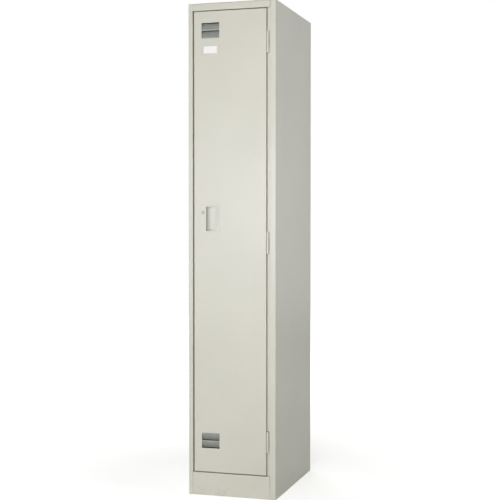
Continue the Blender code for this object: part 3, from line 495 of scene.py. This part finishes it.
def turnedHeads(name, profile, places, facing, material, body, slot):
    # The profile is (radius, height) pairs, from the middle of the crown out and down to the rim
    bm = bmesh.new()
    turn = Vector((0, 0, 1)).rotation_difference(Vector(facing)).to_matrix().to_4x4()
    for place in places:
        row = [bm.verts.new((radius, 0, height)) for radius, height in profile]
        row.append(bm.verts.new((0, 0, profile[-1][1])))
        edges = [bm.edges.new(pair) for pair in zip(row, row[1:])]
        bmesh.ops.spin(bm, geom=row + edges, cent=(0, 0, 0), axis=(0, 0, 1),
                       steps=headSet["steps"], angle=math.radians(360), use_merge=True)
        made = {vert for face in bm.faces if not face.tag for vert in face.verts}
        for face in bm.faces:
            face.tag = True
        bmesh.ops.transform(bm, matrix=Matrix.Translation(place) @ turn, verts=list(made))
    bmesh.ops.remove_doubles(bm, verts=bm.verts, dist=headSet["mergeDistance"])
    bmesh.ops.recalc_face_normals(bm, faces=bm.faces)
    mesh = bpy.data.meshes.new(name)
    bm.to_mesh(mesh)
    bm.free()
    mesh.shade_smooth()
    mesh.set_sharp_from_angle(angle=math.radians(headSet["sharpAngle"]))
    mesh.materials.append(material)
    piece = bpy.data.objects.new(name, mesh)
    scene.collection.objects.link(piece)
    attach(piece, body)


# Blind rivets: a low dome with the stub of its mandrel in the middle
rivetSet = {"radius": 0.0024, "height": 0.0009, "stub": 0.0006, "sink": 0.0002}
hookSet = {"plate": 0.002, "endInset": 0.0055}
socketSet = {"plate": 0.002, "spread": 0.0157, "rivetRadius": 0.0019}
clipSet = {"plate": 0.0012, "drop": 0.0145}
ringSet = {"plate": 0.002, "spread": 0.030}


def rivetProfile(values):
    radius, height, stub = values["radius"], values["height"], values["stub"]
    return [(0, height * 0.85), (stub, height * 0.85), (stub, height * 0.55),
            (stub * 1.6, height * 0.6), (stub * 1.9, height), (radius * 0.72, height * 0.86),
            (radius * 0.93, height * 0.5), (radius, height * 0.12), (radius, -values["sink"])]


def inwardFace(low, high, sign, plate):
    # The X of the face that a plate on a side wall turns to the inside of the cabinet
    return low.x + plate if sign > 0 else high.x - plate


def addRivets(values):
    profile = rivetProfile(values)
    smallProfile = rivetProfile(dict(values, radius=socketSet["rivetRadius"]))
    finish = (zincPlate, "cabinet", "zinc_plate")
    for side, sign in (("left", 1), ("right", -1)):
        low, high = boxOf("coat_hook_" + side)
        face = inwardFace(low, high, sign, hookSet["plate"])
        middle = (low.y + high.y) / 2
        places = [(face, middle, high.z - hookSet["endInset"]),
                  (face, middle, low.z + hookSet["endInset"])]
        turnedHeads("hook_rivets_" + side, profile, places, (sign, 0, 0), *finish)

        low, high = boxOf("rod_socket_" + side)
        face = inwardFace(low, high, sign, socketSet["plate"])
        middle = (low + high) / 2
        places = [(face, middle.y, middle.z + socketSet["spread"]),
                  (face, middle.y, middle.z - socketSet["spread"])]
        turnedHeads("socket_rivets_" + side, smallProfile, places, (sign, 0, 0), *finish)

        places = []
        for end in ("front", "rear"):
            low, high = boxOf("shelf_clip_" + end + "_" + side)
            face = inwardFace(low, high, sign, clipSet["plate"])
            places.append((face, (low.y + high.y) / 2, high.z - clipSet["drop"]))
        turnedHeads("clip_rivets_" + side, profile, places, (sign, 0, 0), *finish)

    low, high = boxOf("umbrella_ring")
    face = inwardFace(low, high, 1, ringSet["plate"])
    middle = (low + high) / 2
    places = [(face, middle.y - ringSet["spread"], middle.z),
              (face, middle.y + ringSet["spread"], middle.z)]
    turnedHeads("ring_rivets", profile, places, (1, 0, 0), *finish)


addRivets(rivetSet)

# Spot welds: shallow dished rings where the sheets are pressed together, under the paint
weldSet = {
    "radius": 0.0030,
    "height": 0.0003,
    "pitch": 0.17,
    "sink": 0.0002,
    "rearInset": 0.0085,
    "stiffenerInset": 0.0055,
    "stiffenerSheet": 0.0008,
    "ventShare": 0.8,
    "ventEdge": 0.0005,
    "ventSideInset": 0.012,
    "ventEndInset": 0.0035,
}


def weldProfile(values, share):
    radius, height = values["radius"], values["height"]
    whole = [(0, height * 0.3), (radius * 0.45, height * 0.35), (radius * 0.72, height),
             (radius * 0.88, height * 0.8), (radius, height * 0.1),
             (radius * 1.02, -values["sink"])]
    return [(spread * share, lift) for spread, lift in whole]


def weldHeights(low, high, pitch):
    count = int((high.z - low.z) / pitch)
    return [low.z + (high.z - low.z) * (step + 0.5) / count for step in range(count)]


def addWelds(values):
    profile = weldProfile(values, 1)
    heights = weldHeights(*boxOf("back_panel"), values["pitch"])
    for side, sign in (("left", -1), ("right", 1)):
        low, high = boxOf(side + "_side_panel")
        across = low.x + values["rearInset"] if sign < 0 else high.x - values["rearInset"]
        places = [(across, high.y, up) for up in heights]
        turnedHeads("rear_welds_" + side, profile, places, (0, 1, 0), ivoryEnamel, "cabinet",
                    "baked_paint")

    low, high = boxOf("door_stiffener")
    inset = values["stiffenerInset"]
    places = [(across, low.y + values["stiffenerSheet"], up)
              for up in weldHeights(low, high, values["pitch"])
              for across in (low.x + inset, high.x - inset)]
    turnedHeads("stiffener_welds", profile, places, (0, 1, 0), ivoryEnamel, "door", "baked_paint")

    small = weldProfile(values, values["ventShare"])
    for vent in ("upper_vent", "lower_vent"):
        low, high = boxOf(vent)
        edge = low.x + values["ventEdge"]
        flange = max(vert.co.y for vert in nodes[vent].data.vertices if vert.co.x < edge)
        places = [(across, flange, up)
                  for up in (low.z + values["ventEndInset"], high.z - values["ventEndInset"])
                  for across in (low.x + values["ventSideInset"], high.x - values["ventSideInset"])]
        turnedHeads(vent + "_welds", small, places, (0, 1, 0), greyEnamel, "door", "grey_paint")


addWelds(weldSet)
print("rivets and welds made")

# Studio: a pale floor that fades into a white surround, and soft lamps. The highlight on the door
# comes from glossFill, which is as cool as a window.
studio = {
    "ambient": 0.155,
    "floorSize": 14,
    "floorColour": "#f4f4f2",
    "floorShade": "#f2f2f0",
    "floorGrain": 4,
    "floorRoughness": 0.9,
    "floorGlow": 0.5,
    "fadeFrom": 0.5,
    "fadeTo": 2.4,
    "floorInGloss": 0.4,
    "lamps": {
        "highKey": {"at": (0.4, -5.6, 2.6), "aim": (0, -0.25, 0.95), "size": (1.8, 1.8),
                    "power": 73},
        "sideKey": {"at": (1.8, -5.2, 3.0), "aim": (0, -0.25, 0.95), "size": (1.8, 1.8),
                    "power": 13},
        "leftFill": {"at": (-2.2, -3.2, 1.2), "aim": (0, -0.25, 1.0), "size": (0.8, 1.2),
                     "power": 11},
        "frontFill": {"at": (0.1, -1.7, 1.1), "aim": (0.06, -0.25, 1.05), "size": (0.5, 0.6),
                      "power": 2.4},
        "glossFill": {"at": (-0.95, -4.0, 1.08), "aim": (0.1, -0.25, 1.05), "size": (0.7, 0.7),
                      "power": 12.5, "tint": (0.97, 1.0, 1.2)},
        "lowFill": {"at": (0.8, -3.2, 0.7), "aim": (0, -0.25, 0.9), "size": (1.2, 0.8),
                    "power": 11},
        "sideFill": {"at": (1.55, -0.5, 1.2), "aim": (0.165, 0, 1.1), "size": (0.7, 0.7),
                     "power": 5.6},
        "rearFill": {"at": (-1.6, 3.2, 4.2), "aim": (0, 0.1, 1.1), "size": (2.4, 2.4),
                     "power": 60},
    },
}


def buildSurround(values):
    # The camera and all reflections see white. Diffuse light gets the ambient strength only.
    world = bpy.data.worlds.new("studioSurround")
    world.use_nodes = True
    tree = world.node_tree
    tree.nodes.clear()
    rays = addNode(tree, "ShaderNodeLightPath").outputs
    seen = largest(tree, rays["Is Camera Ray"], rays["Is Glossy Ray"])
    seen = largest(tree, seen, rays["Is Transmission Ray"])
    white = (1, 1, 1, 1)
    dim = addNode(tree, "ShaderNodeBackground", {"Color": white, "Strength": values["ambient"]})
    bright = addNode(tree, "ShaderNodeBackground", {"Color": white, "Strength": 1.0})
    links = {0: seen, 1: dim.outputs[0], 2: bright.outputs[0]}
    both = addNode(tree, "ShaderNodeMixShader", None, links)
    addNode(tree, "ShaderNodeOutputWorld", None, {0: both.outputs[0]})
    scene.world = world


def floorVinyl(name, values):
    material, tree, shader, place = startMaterial(name)
    grain = noiseAt(tree, place, values["floorGrain"], 2.0)
    tone = colourMix(tree, rangeOf(tree, grain, 0, 1), values["floorColour"],
                     values["floorShade"])
    tree.links.new(tone, shader.inputs["Base Color"])
    shader.inputs["Roughness"].default_value = values["floorRoughness"]
    shader.inputs["Specular IOR Level"].default_value = 0
    rays = addNode(tree, "ShaderNodeLightPath").outputs
    mirrored = addNode(tree, "ShaderNodeMath", {"operation": "MULTIPLY", 1: values["floorInGloss"]},
                       {0: rays["Is Glossy Ray"]}).outputs[0]
    seen = largest(tree, mirrored, rays["Is Camera Ray"])
    # The glow grows away from the locker, until the floor is as white as the surround
    away = addNode(tree, "ShaderNodeVectorMath", {"operation": "LENGTH"}, {0: place})
    fade = rangeOf(tree, away.outputs["Value"], values["floorGlow"], 1, values["fadeFrom"],
                   values["fadeTo"])
    glow = addNode(tree, "ShaderNodeEmission", {"Color": (1, 1, 1, 1)}, {"Strength": fade})
    lit = addNode(tree, "ShaderNodeAddShader", None, {0: shader.outputs[0], 1: glow.outputs[0]})
    links = {0: seen, 1: shader.outputs[0], 2: lit.outputs[0]}
    shown = addNode(tree, "ShaderNodeMixShader", None, links)
    tree.links.new(shown.outputs[0], tree.nodes["Material Output"].inputs["Surface"])
    return material


def layFloor(values):
    bm = bmesh.new()
    bmesh.ops.create_grid(bm, x_segments=1, y_segments=1, size=values["floorSize"] / 2)
    mesh = bpy.data.meshes.new("studioFloor")
    bm.to_mesh(mesh)
    bm.free()
    mesh.materials.append(floorVinyl("studioFloorVinyl", values))
    floor = bpy.data.objects.new("studioFloor", mesh)
    scene.collection.objects.link(floor)


def hangLamp(name, lamp):
    data = bpy.data.lights.new(name, "AREA")
    data.shape = "RECTANGLE"
    data.size, data.size_y = lamp["size"]
    data.energy = lamp["power"]
    data.color = lamp.get("tint", (1, 1, 1))
    light = bpy.data.objects.new(name, data)
    light.location = lamp["at"]
    toward = Vector(lamp["aim"]) - light.location
    light.rotation_euler = toward.to_track_quat("-Z", "Y").to_euler()
    light.visible_camera = False
    scene.collection.objects.link(light)


buildSurround(studio)
layFloor(studio)
for name, lamp in studio["lamps"].items():
    hangLamp(name, lamp)
print("studio built")
